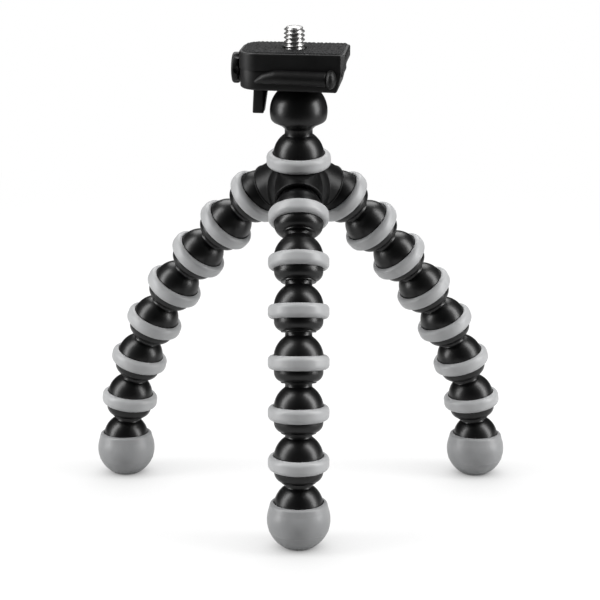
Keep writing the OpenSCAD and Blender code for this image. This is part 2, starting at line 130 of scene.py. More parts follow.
def finishMaterial(name, look):
    material = bpy.data.materials.new(name)
    material.use_nodes = True
    tree = material.node_tree
    tree.nodes.clear()
    output = addNode(tree, "ShaderNodeOutputMaterial")
    surface = addNode(tree, "ShaderNodeBsdfPrincipled")
    tree.links.new(surface.outputs["BSDF"], output.inputs["Surface"])
    place = addNode(tree, "ShaderNodeTexCoord")
    grain = addNode(tree, "ShaderNodeGroup", node_tree=mouldGrain)
    fill(grain, Grain_scale=look["grainScale"], Cloud_scale=look["cloudScale"])
    tree.links.new(place.outputs["Object"], grain.inputs["Vector"])
    shape = addNode(tree, "ShaderNodeNewGeometry")
    edgeLight = addNode(tree, "ShaderNodeGroup", node_tree=paintedEdgeHighlight)
    tree.links.new(shape.outputs["Pointiness"], edgeLight.inputs["Pointiness"])
    tree.links.new(grain.outputs["Grain"], edgeLight.inputs["Grain"])
    tone = addNode(tree, "ShaderNodeValToRGB")
    ends = ((0.3, look["darkTone"]), (0.7, look["lightTone"]))
    for stop, (position, colour) in zip(tone.color_ramp.elements, ends):
        stop.position = position
        stop.color = (*colour, 1)
    tree.links.new(grain.outputs["Cloud"], tone.inputs["Fac"])
    # painted highlight: the edge mask mixes a lighter tone into the base colour
    highlighted = addNode(tree, "ShaderNodeMix", data_type="RGBA")
    highlighted.inputs["B"].default_value = (*look["edgeHighlightTone"], 1)
    tree.links.new(edgeLight.outputs["Highlight"], highlighted.inputs["Factor"])
    tree.links.new(tone.outputs["Color"], highlighted.inputs["A"])
    tree.links.new(highlighted.outputs["Result"], surface.inputs["Base Color"])
    gloss = addNode(tree, "ShaderNodeMapRange")
    smooth, rough = look["roughness"]
    fill(gloss, From_Min=0.25, From_Max=0.75, To_Min=smooth, To_Max=rough)
    tree.links.new(grain.outputs["Cloud"], gloss.inputs["Value"])
    tree.links.new(gloss.outputs["Result"], surface.inputs["Roughness"])
    bump = fill(addNode(tree, "ShaderNodeBump"), Strength=look["bump"], Distance=look["bumpDepth"])
    tree.links.new(grain.outputs["Grain"], bump.inputs["Height"])
    tree.links.new(bump.outputs["Normal"], surface.inputs["Normal"])
    surface.inputs["Metallic"].default_value = look.get("metallic", 0.0)
    surface.inputs["IOR"].default_value = look.get("ior", 1.5)
    return material


# the edge tone in each look is the colour of a painted highlight on convex edges
satinBlackLook = {
    "darkTone": (0.0007, 0.0007, 0.0008),
    "lightTone": (0.0015, 0.0015, 0.0016),
    "edgeHighlightTone": (0.010, 0.010, 0.0105),
    "roughness": (0.31, 0.37),
    "ior": 1.46,
    "grainScale": 4200.0,
    "cloudScale": 160.0,
    "bump": 0.10,
    "bumpDepth": 0.00004,
}
mattBlackLook = dict(satinBlackLook, roughness=(0.46, 0.54), ior=1.40, bump=0.16)
# the hub's convex edges take a brighter painted highlight
hubBlackLook = dict(satinBlackLook, edgeHighlightTone=(0.03, 0.03, 0.031), roughness=(0.36, 0.43), ior=1.33)
greyRubberLook = {
    "darkTone": (0.362, 0.366, 0.371),
    "lightTone": (0.412, 0.416, 0.420),
    "edgeHighlightTone": (0.46, 0.465, 0.47),
    "roughness": (0.37, 0.45),
    "grainScale": 3600.0,
    "cloudScale": 140.0,
    "bump": 0.12,
    "bumpDepth": 0.00005,
}
footRubberLook = dict(
    greyRubberLook,
    darkTone=(0.240, 0.243, 0.247),
    lightTone=(0.274, 0.277, 0.281),
    edgeHighlightTone=(0.31, 0.314, 0.318),
)
padRubberLook = {
    "darkTone": (0.005, 0.005, 0.0053),
    "lightTone": (0.018, 0.018, 0.0185),
    "edgeHighlightTone": (0.15, 0.15, 0.153),
    "roughness": (0.64, 0.8),
    "ior": 1.24,
    "grainScale": 5200.0,
    "cloudScale": 700.0,
    "bump": 0.45,
    "bumpDepth": 0.00012,
}
brightSteelLook = {
    "darkTone": (0.41, 0.407, 0.402),
    "lightTone": (0.49, 0.487, 0.481),
    "edgeHighlightTone": (0.60, 0.596, 0.59),
    "roughness": (0.31, 0.38),
    "grainScale": 6000.0,
    "cloudScale": 900.0,
    "bump": 0.06,
    "bumpDepth": 0.00002,
    "metallic": 1.0,
}
satinBlack = finishMaterial("satinBlack", satinBlackLook)
mattBlack = finishMaterial("mattBlack", mattBlackLook)
hubBlack = finishMaterial("hubBlack", hubBlackLook)
greyRubber = finishMaterial("greyRubber", greyRubberLook)
footRubber = finishMaterial("footRubber", footRubberLook)
padRubber = finishMaterial("padRubber", padRubberLook)
brightSteel = finishMaterial("brightSteel", brightSteelLook)
finishes = {
    "black_plastic": satinBlack,
    "grey_rubber": greyRubber,
    "pad_rubber": padRubber,
    "steel": brightSteel,
}
print("finishes made:", ", ".join(finishes))


# modelling helpers
def arc(centreZ, radius, fromDeg, toDeg, count, centreR=0.0):
    angles = [math.radians(fromDeg + (toDeg - fromDeg) * i / count) for i in range(count + 1)]
    return [(centreR + radius * math.cos(a), centreZ + radius * math.sin(a)) for a in angles]


def roundCorners(bm, verts, offset, segments):
    bmesh.ops.bevel(bm, geom=verts, offset=offset, segments=segments, profile=0.5, affect="VERTICES", material=-1)


def roundEdges(bm, edges, offset, segments=4):
    bmesh.ops.bevel(bm, geom=edges, offset=offset, segments=segments, profile=0.5, affect="EDGES", material=-1)


def movedVerts(result):
    return [part for part in result["geom"] if isinstance(part, bmesh.types.BMVert)]


def turnedShape(outline, closed=False, steps=96):
    # a half section in radius and height, with a fillet where a point has a third number, spun round Z
    bm = bmesh.new()
    verts = [bm.verts.new((point[0], 0, point[1])) for point in outline]
    for a, b in zip(verts, verts[1:] + verts[:1] if closed else verts[1:]):
        bm.edges.new((a, b))
    for vert, point in zip(verts, outline):
        if len(point) > 2:
            roundCorners(bm, [vert], point[2], max(3, round(6 * point[2])))
    section = bm.verts[:] + bm.edges[:]
    bmesh.ops.spin(bm, geom=section, cent=(0, 0, 0), axis=(0, 0, 1), angle=2 * math.pi, steps=steps, use_merge=True)
    bmesh.ops.remove_doubles(bm, verts=bm.verts, dist=0.0005)
    bmesh.ops.recalc_face_normals(bm, faces=bm.faces)
    return bm


def addPiece(name, bm, place, slot, body, *nodes, sharp=38, finish=None):
    bm.transform(place)
    mesh = bpy.data.meshes.new(name)
    bm.to_mesh(mesh)
    bm.free()
    mesh.shade_smooth()
    mesh.set_sharp_from_angle(angle=math.radians(sharp))
    mesh.materials.append(finish or finishes[slot])
    piece = bpy.data.objects.new(name, mesh)
    bpy.context.scene.collection.objects.link(piece)
    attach(piece, body)
    if nodes:
        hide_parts(*nodes)
    return piece


# leg links and grip rings
linkSize = {
    "pitch": 15.0,
    "ballR": 7.45,
    "ballCut": 2.384,
    "neckR": 4.05,
    "neckEdge": 0.25,
    "bossR": 5.3,
    "bossLow": -7.552,
    "bossEdge": 0.1,
    "cupLow": -7.352,
    "cupR": 7.37,
    "cupEdge": 3.02,
    "rimR": 8.02,
    "rimLow": -2.904,
    "rimTop": 0.596,
    "seatR": 7.47,
    "seatLow": -6.252,
}
ringSize = {
    "outerR": 9.17,
    "top": 0.796,
    "height": 4.4,
    "round": 1.5,
    "skirtEdge": 0.25,
    "mouthR": 7.6,
    "mouthDrop": 0.02,
    "mouthEdge": 0.06,
}


def ballArc(size, centreZ):
    low = -math.degrees(math.asin(size["ballCut"] / size["ballR"]))
    high = math.degrees(math.acos(size["neckR"] / size["ballR"]))
    return arc(centreZ, size["ballR"], low, high, 28)


def seatArc(size):
    low = -math.degrees(math.asin(-size["seatLow"] / size["seatR"]))
    high = math.degrees(math.asin(size["rimTop"] / size["seatR"]))
    return arc(0, size["seatR"], high, low, 20)


def linkOutline(size):
    ball = ballArc(size, -size["pitch"])
    edge = size["cupEdge"]
    bossDeg = -math.degrees(math.acos((size["bossR"] - size["cupR"] + edge) / edge))
    shoulder = arc(size["cupLow"] + edge, edge, bossDeg, 0, 14, size["cupR"] - edge)
    return [
        (0, ball[0][1]),
        *ball[:-1],
        (*ball[-1], size["neckEdge"]),
        (size["neckR"], size["bossLow"], size["bossEdge"]),
        (size["bossR"], size["bossLow"], size["bossEdge"]),
        *shoulder,
        (size["cupR"], size["rimLow"]),
        (size["rimR"], size["rimLow"]),
        (size["rimR"], size["rimTop"]),
        *seatArc(size),
        (0, size["seatLow"]),
    ]


def ringOutline(size, rim):
    low = size["top"] - size["height"]
    return [
        (rim["cupR"], low, size["skirtEdge"]),
        (size["outerR"], low, size["round"]),
        (size["outerR"], size["top"], size["round"]),
        (size["mouthR"], size["top"] - size["mouthDrop"], size["mouthEdge"]),
        (size["mouthR"], rim["rimTop"]),
        (rim["rimR"], rim["rimTop"]),
        (rim["rimR"], rim["rimLow"]),
        (rim["cupR"], rim["rimLow"]),
    ]


for leg, count in legLinks.items():
    for i in range(1, count + 1):
        top = jointPlace(ballJoint(leg, i))
        along = top - jointPlace(ballJoint(leg, i + 1))
        place = frameAt(top, along, jointAxis(ballJoint(leg, i)))
        body = f"{leg}_{i}"
        link = turnedShape(linkOutline(linkSize))
        addPiece(f"{leg}Link{i}", link, place, "black_plastic", body, f"{leg}_link_{i}")
        ring = turnedShape(ringOutline(ringSize, linkSize), closed=True)
        addPiece(f"{leg}Ring{i}", ring, place, "grey_rubber", body, f"{leg}_ring_{i}")
print("legs made:", legLinks)

# feet
footSize = {
    "centreZ": -4.1,
    "radius": 9.549,
    "flatZ": -12.749,
    "flatEdge": 0.55,
    "flatRoomDeg": 6,
    "partingDeg": -21.3,
    "partingHalfDeg": 0.35,
    "partingRoomDeg": 1.1,
    "partingHeight": 0.07,
    "wallTopDeg": 20,
    "shoulderR": 8.92,
    "shoulderDrop": 1.9,
    "shoulderEdge": 1.2,
    "lipR": 8.45,
    "lipEdge": 1.3,
    "mouthZ": 1.337,
    "mouthR": 7.6,
    "mouthEdge": 0.2,
    "socketR": 7.77,
    "socketTop": 0.596,
    "socketLow": -7.352,
    "socketEdge": 1.1,
}


def bootOutline(size):
    r, z = size["radius"], size["centreZ"]
    flatDeg = math.degrees(math.asin((size["flatZ"] - z) / r))
    parting, half, room = size["partingDeg"], size["partingHalfDeg"], size["partingRoomDeg"]
    flatCorner = (r * math.cos(math.radians(flatDeg)), size["flatZ"], size["flatEdge"])
    return [
        (0, size["flatZ"]),
        flatCorner,
        *arc(z, r, flatDeg + size["flatRoomDeg"], parting - room, 26),
        *arc(z, r + size["partingHeight"], parting - half, parting + half, 2),
        *arc(z, r, parting + room, size["wallTopDeg"], 26),
        (size["shoulderR"], size["mouthZ"] - size["shoulderDrop"], size["shoulderEdge"]),
        (size["lipR"], size["mouthZ"], size["lipEdge"]),
        (size["mouthR"], size["mouthZ"], size["mouthEdge"]),
        (size["mouthR"], size["socketTop"]),
        (size["socketR"], size["socketTop"]),
        (size["socketR"], size["socketLow"], size["socketEdge"]),
        (0, size["socketLow"]),
    ]


for leg in legLinks:
    place = frameAt(jointPlace(f"{leg}_foot_ball"), Vector((0, 0, 1)), jointAxis(f"{leg}_foot_ball"))
    boot = turnedShape(bootOutline(footSize))
    addPiece(f"{leg}Boot", boot, place, "grey_rubber", f"{leg}_foot", f"{leg}_foot_boot", finish=footRubber)
print("feet made")

# hub, its grip ring and the stem
hubSize = {"voxel": 0.00026, "soften": 0.5, "softSteps": 6}
collarSize = {
    "turns": {"front": -90, "right": 30, "left": 150},
    "tilt": 58,
    "edgeR": 7.12,
    "edgeZ": 5.22,
    "bead": 0.3,
    "beadSides": 16,
}
hubRingSize = dict(ringSize, outerR=9.92, top=0.814, mouthR=8.1, lean=4.0)
hubRimSize = {"cupR": 7.87, "rimR": 8.52, "rimTop": 0.614, "rimLow": -2.886}
stemSize = {
    "ballR": 7.86,
    "ballCut": 2.544,
    "neckR": 4.3,
    "neckEdge": 0.2,
    "bulbZ": 13.85,
    "bulbR": 8.85,
    "footZ": 8.35,
    "footEdge": 0.25,
    "edgeR": 5.45,
    "edgeZ": 9.4,
    "edgeRound": 0.35,
    "skirtDeg": -19.7,
    "skirtIn": 0.05,
    "skirtRound": 0.6,
    "topZ": 22.15,
}
armBalls = {leg: jointPlace(f"{leg}_ball_1") for leg in legLinks}
hubUp = (armBalls["right"] - armBalls["front"]).cross(armBalls["left"] - armBalls["front"])
hubPlace = frameAt(jointPlace("stem_tilt"), hubUp, Vector((1, 0, 0)))
socketPlace = hubPlace @ Matrix.Rotation(math.radians(hubRingSize["lean"]), 4, "X")
stemPlace = frameAt(jointPlace("stem_tilt"), jointAxis("head_pan"), jointAxis("stem_tilt"))


def stemOutline(size):
    topDeg = math.degrees(math.asin((size["topZ"] - size["bulbZ"]) / size["bulbR"]))
    ball = ballArc(size, 0)
    bulb = arc(size["bulbZ"], size["bulbR"], size["skirtDeg"], topDeg, 40)
    return [
        (0, ball[0][1]),
        *ball[:-1],
        (*ball[-1], size["neckEdge"]),
        (size["neckR"], size["footZ"], size["footEdge"]),
        (size["edgeR"], size["edgeZ"], size["edgeRound"]),
        (bulb[0][0] - size["skirtIn"], bulb[0][1] - size["skirtIn"], size["skirtRound"]),
        *bulb[2:],
        (0, size["topZ"]),
    ]


def addHub(size):
    source = frame["nodes"]["hub"]
    bm = bmesh.new()
    bm.from_mesh(source.data)
    bm.transform(source.matrix_world)
    bmesh.ops.remove_doubles(bm, verts=bm.verts, dist=0.000002)
    piece = addPiece("hubBody", bm, Matrix.Identity(4), "black_plastic", "hub", "hub", finish=hubBlack)
    # an even skin, then a little relaxing, rounds the creases between the arms
    skin = piece.modifiers.new("skin", "REMESH")
    skin.mode = "VOXEL"
    skin.voxel_size = size["voxel"]
    skin.use_smooth_shade = True
    relax = piece.modifiers.new("relax", "SMOOTH")
    relax.factor = size["soften"]
    relax.iterations = size["softSteps"]


def addCollarLips(size):
    # a fine bead round the mouth of each collar
    sides = size["beadSides"]
    section = arc(size["edgeZ"], size["bead"], 0, 360 - 360 / sides, sides - 1, size["edgeR"])
    lean = Matrix.Rotation(math.radians(-size["tilt"]), 3, "Y")
    for leg, turn in size["turns"].items():
        inward = Matrix.Rotation(math.radians(turn), 3, "Z") @ lean @ Vector((0, 0, 1))
        place = frameAt(armBalls[leg], hubPlace.to_3x3().normalized() @ inward, Vector((1, 0, 0)))
        lip = turnedShape(section, closed=True)
        addPiece(f"{leg}CollarLip", lip, place, "black_plastic", "hub", finish=hubBlack)


addHub(hubSize)
addCollarLips(collarSize)
hubRing = turnedShape(ringOutline(hubRingSize, hubRimSize), closed=True)
addPiece("hubRing", hubRing, socketPlace, "grey_rubber", "hub", "hub_ring")
addPiece("stemBody", turnedShape(stemOutline(stemSize)), stemPlace, "black_plastic", "stem", "stem")
print("hub and stem made")

# head: a plate with a pad and a stud, sliding on a base with lever, knob and tab
headSize = {
    "length": 32.4,
    "width": 20.0,
    "cornerR": 6.0,
    "cornerCut": 1.4,
    "seam": 13.85,
    "plateTop": 19.05,
    "tongueLow": 12.05,
    "tongueTopHalf": 6.0,
    "tongueLowHalf": 7.1,
}
headUp = jointAxis("screw_turn")
headPlace = frameAt(jointPlace("screw_turn") - headUp * headSize["seam"] * mm, headUp, jointAxis("plate_slide"))


def headBlock(size, inset, low, high):
    # the head's outline from above, round on the left and cut on the right, raised to a block
    bm = bmesh.new()
    half, deep = size["length"] / 2 - inset, size["width"] / 2 - inset
    corners = [bm.verts.new((x * half, y * deep, low)) for x, y in ((-1, -1), (1, -1), (1, 1), (-1, 1))]
    bm.faces.new(corners)
    for side, offset, segments in ((-1, size["cornerR"] - inset, 14), (1, size["cornerCut"] - inset / 2, 1)):
        ends = [vert for vert in bm.verts if side * vert.co.x > half - 0.001]
        roundCorners(bm, ends, offset, segments)
    raised = bmesh.ops.extrude_face_region(bm, geom=bm.faces[:])
    bmesh.ops.translate(bm, vec=(0, 0, high - low), verts=movedVerts(raised))
    bmesh.ops.recalc_face_normals(bm, faces=bm.faces)
    return bm


def prism(section, fromX, toX, bm=None):
    # a section in Y and Z, drawn out along X
    bm = bm or bmesh.new()
    face = bm.faces.new([bm.verts.new((fromX, y, z)) for y, z in section])
    drawn = bmesh.ops.extrude_face_region(bm, geom=[face])
    bmesh.ops.translate(bm, vec=(toX - fromX, 0, 0), verts=movedVerts(drawn))
    bmesh.ops.recalc_face_normals(bm, faces=bm.faces)
    return bm


def trim(bm, at, outward):
    everything = bm.verts[:] + bm.edges[:] + bm.faces[:]
    cut = bmesh.ops.bisect_plane(bm, geom=everything, plane_co=at, plane_no=outward, clear_outer=True)
    rim = [part for part in cut["geom_cut"] if isinstance(part, bmesh.types.BMEdge) and part.is_boundary]
    bmesh.ops.holes_fill(bm, edges=rim, sides=0)
    bmesh.ops.recalc_face_normals(bm, faces=bm.faces)


def edgesOn(bm, at, normal):
    normal = Vector(normal).normalized()
    onPlane = {vert for vert in bm.verts if abs((vert.co - Vector(at)).dot(normal)) < 0.002}
    return [edge for edge in bm.edges if all(vert in onPlane for vert in edge.verts)]


def scratchObject(bm):
    mesh = bpy.data.meshes.new("scratch")
    bm.to_mesh(mesh)
    bm.free()
    item = bpy.data.objects.new("scratch", mesh)
    bpy.context.scene.collection.objects.link(item)
    return item


def cutAway(bm, *cutters):
    block = scratchObject(bm)
    tools = [scratchObject(cutter) for cutter in cutters]
    for tool in tools:
        cut = block.modifiers.new("cut", "BOOLEAN")
        cut.object = tool
        cut.operation = "DIFFERENCE"
        cut.solver = "EXACT"
    graph = bpy.context.evaluated_depsgraph_get()
    mesh = bpy.data.meshes.new_from_object(block.evaluated_get(graph))
    result = bmesh.new()
    result.from_mesh(mesh)
    bpy.data.meshes.remove(mesh)
    for item in (block, *tools):
        bpy.data.meshes.remove(item.data)
    return result


def boxShape(low, high):
    bm = bmesh.new()
    bmesh.ops.create_cube(bm, size=1)
    bmesh.ops.translate(bm, vec=(0.5, 0.5, 0.5), verts=bm.verts)
    bmesh.ops.scale(bm, vec=[b - a for a, b in zip(low, high)], verts=bm.verts)
    bmesh.ops.translate(bm, vec=low, verts=bm.verts)
    return bm


def dovetail(head, gap):
    top, low = head["seam"] + gap, head["tongueLow"] - gap
    narrow, wide = head["tongueTopHalf"] + gap, head["tongueLowHalf"] + gap
    return [(-narrow, top), (-wide, low), (wide, low), (narrow, top)]


def slabShape(outline, half):
    # an outline in X and Z, drawn out to both sides along Y
    bm = bmesh.new()
    face = bm.faces.new([bm.verts.new((x, -half, z)) for x, z in outline])
    drawn = bmesh.ops.extrude_face_region(bm, geom=[face])
    bmesh.ops.translate(bm, vec=(0, 2 * half, 0), verts=movedVerts(drawn))
    bmesh.ops.recalc_face_normals(bm, faces=bm.faces)
    return bm


# base
baseSize = {
    "inset": 0.25,
    "cornerCut": 1.1,
    "lowLeft": 7.95,
    "lowRight": 7.55,
    "rightTop": 15.2,
    "rightLow": 13.8,
    "lowerEdge": 0.8,
    "rightEdge": 0.5,
    "seamGap": 0.03,
    "seamEdge": 0.12,
    "channelLeft": -13.1,
    "channelRight": 20,
    "channelGap": 0.1,
    "bulbR": 8.93,
    "bulbX": 1.3,
    "bulbTop": 8.38,
    "bulbFromDeg": -30,
    "slotAt": (-10.0, 9.15),
    "slotR": 2.45,
    "slotLeft": -13.9,
    "slotRise": 0.6,
    "slotLow": 5,
    "slotHalf": 2.4,
}


def baseShape(size, head):
    top = head["seam"] - size["seamGap"]
    bm = headBlock(dict(head, cornerCut=size["cornerCut"]), size["inset"], size["lowRight"] - 1, top)
    # the underside and the right end are sloping cuts, each given by a point and the way out
    left = size["inset"] - head["length"] / 2
    downhill = (size["lowRight"] - size["lowLeft"], 0, left - size["rightLow"])
    underside = ((left, 0, size["lowLeft"]), downhill)
    sideways = (head["seam"] - size["lowRight"], 0, size["rightLow"] - size["rightTop"])
    rightEnd = ((size["rightTop"], 0, head["seam"]), sideways)
    trim(bm, *underside)
    trim(bm, *rightEnd)
    rightSides = [edge for edge in edgesOn(bm, *rightEnd) if abs(edge.verts[0].co.z - edge.verts[1].co.z) > 2]
    roundEdges(bm, rightSides, size["rightEdge"])
    roundEdges(bm, edgesOn(bm, *underside), size["lowerEdge"], 5)
    topFace = max(bm.faces, key=lambda face: face.calc_center_median().z)
    roundEdges(bm, topFace.edges[:], size["seamEdge"], 2)
    bulbTopDeg = math.degrees(math.asin(size["bulbTop"] / size["bulbR"]))
    sphere = arc(0, size["bulbR"], size["bulbFromDeg"], bulbTopDeg, 40)
    socket = turnedShape([(0, sphere[0][1]), *sphere, (0, size["bulbTop"])])
    bmesh.ops.translate(socket, vec=(size["bulbX"], 0, 0), verts=socket.verts)
    channel = prism(dovetail(head, size["channelGap"]), size["channelLeft"], size["channelRight"])
    slotX, slotZ = size["slotAt"]
    r, rise, slotLeft, slotLow = size["slotR"], size["slotRise"], size["slotLeft"], size["slotLow"]
    slot = arc(slotZ, r, 0, 180 - math.degrees(math.asin(rise / r)), 16, slotX)
    slot += [(slotLeft, slotZ + rise), (slotLeft, slotLow), (slotX + r, slotLow)]
    return cutAway(bm, channel, socket, slabShape(slot, size["slotHalf"]))


headBase = baseShape(baseSize, headSize)
addPiece("headBase", headBase, headPlace, "black_plastic", "head", "head_base", sharp=30, finish=mattBlack)

# camera plate
plateSize = {
    "seamGap": 0.02,
    "topEdge": 0.45,
    "cornerEdge": 0.2,
    "padInset": 0.9,
    "padSunk": 0.4,
    "endLow": 15.2,
    "endRise": 2.0,
    "tongueLeft": -13.0,
}


def plateShape(size, head):
    low, top, half = head["seam"] + size["seamGap"], head["plateTop"], head["length"] / 2
    bm = headBlock(head, 0, low, top)
    # the right end slopes in towards the base
    trim(bm, (size["endLow"], 0, low), (size["endRise"], 0, size["endLow"] - half))
    tall = [edge for edge in bm.edges if abs(edge.verts[0].co.z - edge.verts[1].co.z) > 1.5]
    rightCorners = [edge for edge in tall if edge.verts[0].co.x > 0.75 * half]
    roundEdges(bm, rightCorners, size["cornerEdge"], 3)
    topFace = max(bm.faces, key=lambda face: face.calc_center_median().z)
    roundEdges(bm, topFace.edges[:], size["topEdge"], 5)
    topFace = max(bm.faces, key=lambda face: face.calc_area() if face.calc_center_median().z > top - 0.001 else 0)
    bmesh.ops.inset_region(bm, faces=[topFace], thickness=size["padInset"] - size["topEdge"])
    bmesh.ops.inset_region(bm, faces=[topFace], thickness=0.01, depth=-size["padSunk"])
    prism(dovetail(head, 0), size["tongueLeft"], size["endLow"], bm)
    return bm


cameraPlate = plateShape(plateSize, headSize)
addPiece("cameraPlate", cameraPlate, headPlace, "black_plastic", "plate", "camera_plate", sharp=30, finish=mattBlack)

# rubber pad with its pebbles
padSize = {
    "inset": 0.92,
    "low": 18.67,
    "face": 19.06,
    "cell": 0.17,
    "holeR": 3.8,
    "pebble": 1.2,
    "pebbleHeight": 0.48,
    "pebbleShare": 0.62,
    "rowShare": 0.87,
    "jitter": 0.34,
    "ripple": 0.05,
    "rippleScale": 3.1,
    "edgeDrop": 0.08,
    "edgeReach": 0.5,
}


def padEdge(x, y, size, head):
    # distance outside the pad's outline, less than nothing inside it
    inset = size["inset"]
    half, deep, r = head["length"] / 2 - inset, head["width"] / 2 - inset, head["cornerR"] - inset
    y = abs(y)
    if x < r - half and y > deep - r:
        edge = math.hypot(x - r + half, y - deep + r) - r
    else:
        edge = max(abs(x) - half, y - deep)
    corner = (x + y - half - deep + head["cornerCut"] - inset) / math.sqrt(2)
    return max(edge, corner)


def pebbleHeight(x, y, size):
    # rows of round pebbles, each set a little off its place
    across, along, rowShare = x / size["pebble"], y / size["pebble"], size["rowShare"]
    row = round(along / rowShare)
    nearest = math.inf
    for j in (row - 1, row, row + 1):
        shift = 0.5 * (j % 2)
        column = round(across - shift)
        for i in (column - 1, column, column + 1):
            off = noise.cell_vector(Vector((i + 0.5, j + 0.5, 0.5))) * size["jitter"]
            nearest = min(nearest, math.hypot(across - shift - i - off.x, along - rowShare * j - off.y))
    dome = max(0.0, 1 - (nearest / size["pebbleShare"]) ** 2)
    ripple = size["ripple"] * noise.noise(Vector((x, y, 0)) * size["rippleScale"])
    return size["pebbleHeight"] * math.sqrt(dome) + ripple


def padShape(size, head):
    bm = bmesh.new()
    across, deep = round(head["length"] / size["cell"]), round(head["width"] / size["cell"])
    bmesh.ops.create_grid(bm, x_segments=across, y_segments=deep, size=0.5)
    bmesh.ops.scale(bm, vec=(head["length"], head["width"], 1), verts=bm.verts)

    def outside(x, y):
        return max(padEdge(x, y, size, head), size["holeR"] - math.hypot(x, y))

    past = [vert for vert in bm.verts if outside(vert.co.x, vert.co.y) > 0.6 * size["cell"]]
    bmesh.ops.delete(bm, geom=past, context="VERTS")
    rim = {vert for edge in bm.edges if edge.is_boundary for vert in edge.verts}
    for vert in rim:
        # three steps down the slope of the distance bring the rim onto the outline
        for _ in range(3):
            x, y = vert.co.x, vert.co.y
            gap = outside(x, y)
            vert.co.x -= gap * (outside(x + 0.01, y) - outside(x - 0.01, y)) / 0.02
            vert.co.y -= gap * (outside(x, y + 0.01) - outside(x, y - 0.01)) / 0.02
    bmesh.ops.translate(bm, vec=(0, 0, size["low"]), verts=bm.verts)
    raised = bmesh.ops.extrude_face_region(bm, geom=bm.faces[:])
    for vert in movedVerts(raised):
        inside = min(1.0, max(0.0, -outside(vert.co.x, vert.co.y) / size["edgeReach"]))
        pebble = pebbleHeight(vert.co.x, vert.co.y, size)
        vert.co.z = size["face"] + pebble - size["edgeDrop"] * (1 - inside) ** 2
    bmesh.ops.recalc_face_normals(bm, faces=bm.faces)
    return bm


addPiece("gripPad", padShape(padSize, headSize), headPlace, "pad_rubber", "plate", "grip_pad", sharp=60)

# camera stud with its 1/4 inch thread
studSize = {
    "crestR": 3.175,
    "rootR": 2.5,
    "pitch": 1.27,
    "start": 12.85,
    "tip": 25.75,
    "chamfer": 0.85,
    "headR": 4.9,
    "headLow": 12.35,
    "headTop": 14.25,
    "headLowEdge": 0.3,
    "headTopEdge": 0.2,
    "slotHalf": 0.7,
    "slotDepth": 0.9,
}


def threadShape(size, steps=60):
    root, crest, pitch = size["rootR"], size["crestR"], size["pitch"]
    turns = math.ceil((size["tip"] - size["start"]) / pitch) + 2
    # the thread's section, up to a flat crest and down again
    upFlank = [(root, 0), (root + 0.05, 0.12), (crest - 0.04, 0.53), (crest, 0.58)]
    downFlank = [(crest, 0.69), (crest - 0.04, 0.74), (root + 0.05, 1.15), (root, pitch)]
    bm = bmesh.new()
    # the winding starts below and is cut level afterwards
    verts = [bm.verts.new((r, 0, size["start"] - 1.5 * pitch + z)) for r, z in upFlank + downFlank]
    edges = [bm.edges.new(pair) for pair in zip(verts, verts[1:])]
    winding = {"angle": 2 * math.pi * turns, "steps": steps * turns, "dvec": (0, 0, pitch / steps)}
    bmesh.ops.spin(bm, geom=verts + edges, cent=(0, 0, 0), axis=(0, 0, 1), **winding)
    bmesh.ops.remove_doubles(bm, verts=bm.verts, dist=0.001)
    trim(bm, (0, 0, size["tip"]), (0, 0, 1))
    trim(bm, (0, 0, size["start"]), (0, 0, -1))
    for vert in bm.verts:
        reach = math.hypot(vert.co.x, vert.co.y)
        most = size["crestR"] - max(0.0, vert.co.z - size["tip"] + size["chamfer"])
        if reach > most:
            vert.co.x *= most / reach
            vert.co.y *= most / reach
    return bm


def studHead(size):
    r, low, top = size["headR"], size["headLow"], size["headTop"]
    disc = [(0, low), (r, low, size["headLowEdge"]), (r, top, size["headTopEdge"]), (0, top)]
    reach, half = r + 1.1, size["slotHalf"]
    slot = boxShape((-reach, -half, low - 1), (reach, half, low + size["slotDepth"]))
    return cutAway(turnedShape(disc), slot)


addPiece("studThread", threadShape(studSize), headPlace, "steel", "screw", "camera_screw", sharp=50)
addPiece("studHead", studHead(studSize), headPlace, "steel", "screw", sharp=30)

# lever across the front
leverSize = {
    "at": (10.4, -10.6, 11.85),
    "lensR": 2.85,
    "lensHalf": 1.75,
    "lensOut": 1.6,
    "thickR": 2.2,
    "thinR": 2.05,
    "length": 15.2,
    "shoulderR": 1.42,
    "shoulder": 19.05,
    "noseR": 0.45,
    "nose": 21.2,
    "noseCrown": 0.12,
    "collar": 0.35,
    "rise": 1.4,
    "back": -10.12,
}


def leverShape(size):
    lens = [(size["lensR"] * x, size["lensHalf"] * z - size["lensOut"]) for x, z in arc(0, 1, -90, 36, 26)]
    bar = [
        (size["thickR"] - size["collar"], lens[-1][1] + 0.2),
        (size["thickR"], lens[-1][1] + 0.2 + size["collar"], 0.2),
        (size["thinR"], size["length"], 2.0),
        (size["shoulderR"], size["shoulder"], 1.2),
        (size["noseR"], size["nose"], 0.35),
        (0, size["nose"] + size["noseCrown"]),
    ]
    bm = turnedShape([(0, lens[0][1]), *lens[1:], *bar], steps=64)
    first, second = size["shoulder"] - size["length"], size["nose"] - size["shoulder"]
    for vert in bm.verts:
        # the nose bends down, so that the bar's lower edge runs straight to its tip
        onShoulder = min(1.0, max(0.0, (vert.co.z - size["length"]) / first))
        onNose = min(1.0, max(0.0, (vert.co.z - size["shoulder"]) / second))
        vert.co.x -= (size["thinR"] - size["shoulderR"]) * onShoulder + (size["shoulderR"] - size["noseR"]) * onNose
    lean = Matrix.Rotation(math.radians(size["rise"] - 90), 4, "Y")
    bm.transform(Matrix.Translation(size["at"]) @ lean)
    trim(bm, (0, size["back"], 0), (0, 1, 0))
    return bm


clampLever = leverShape(leverSize)
addPiece("clampLever", clampLever, headPlace, "black_plastic", "lever", "clamp_lever", sharp=50, finish=mattBlack)

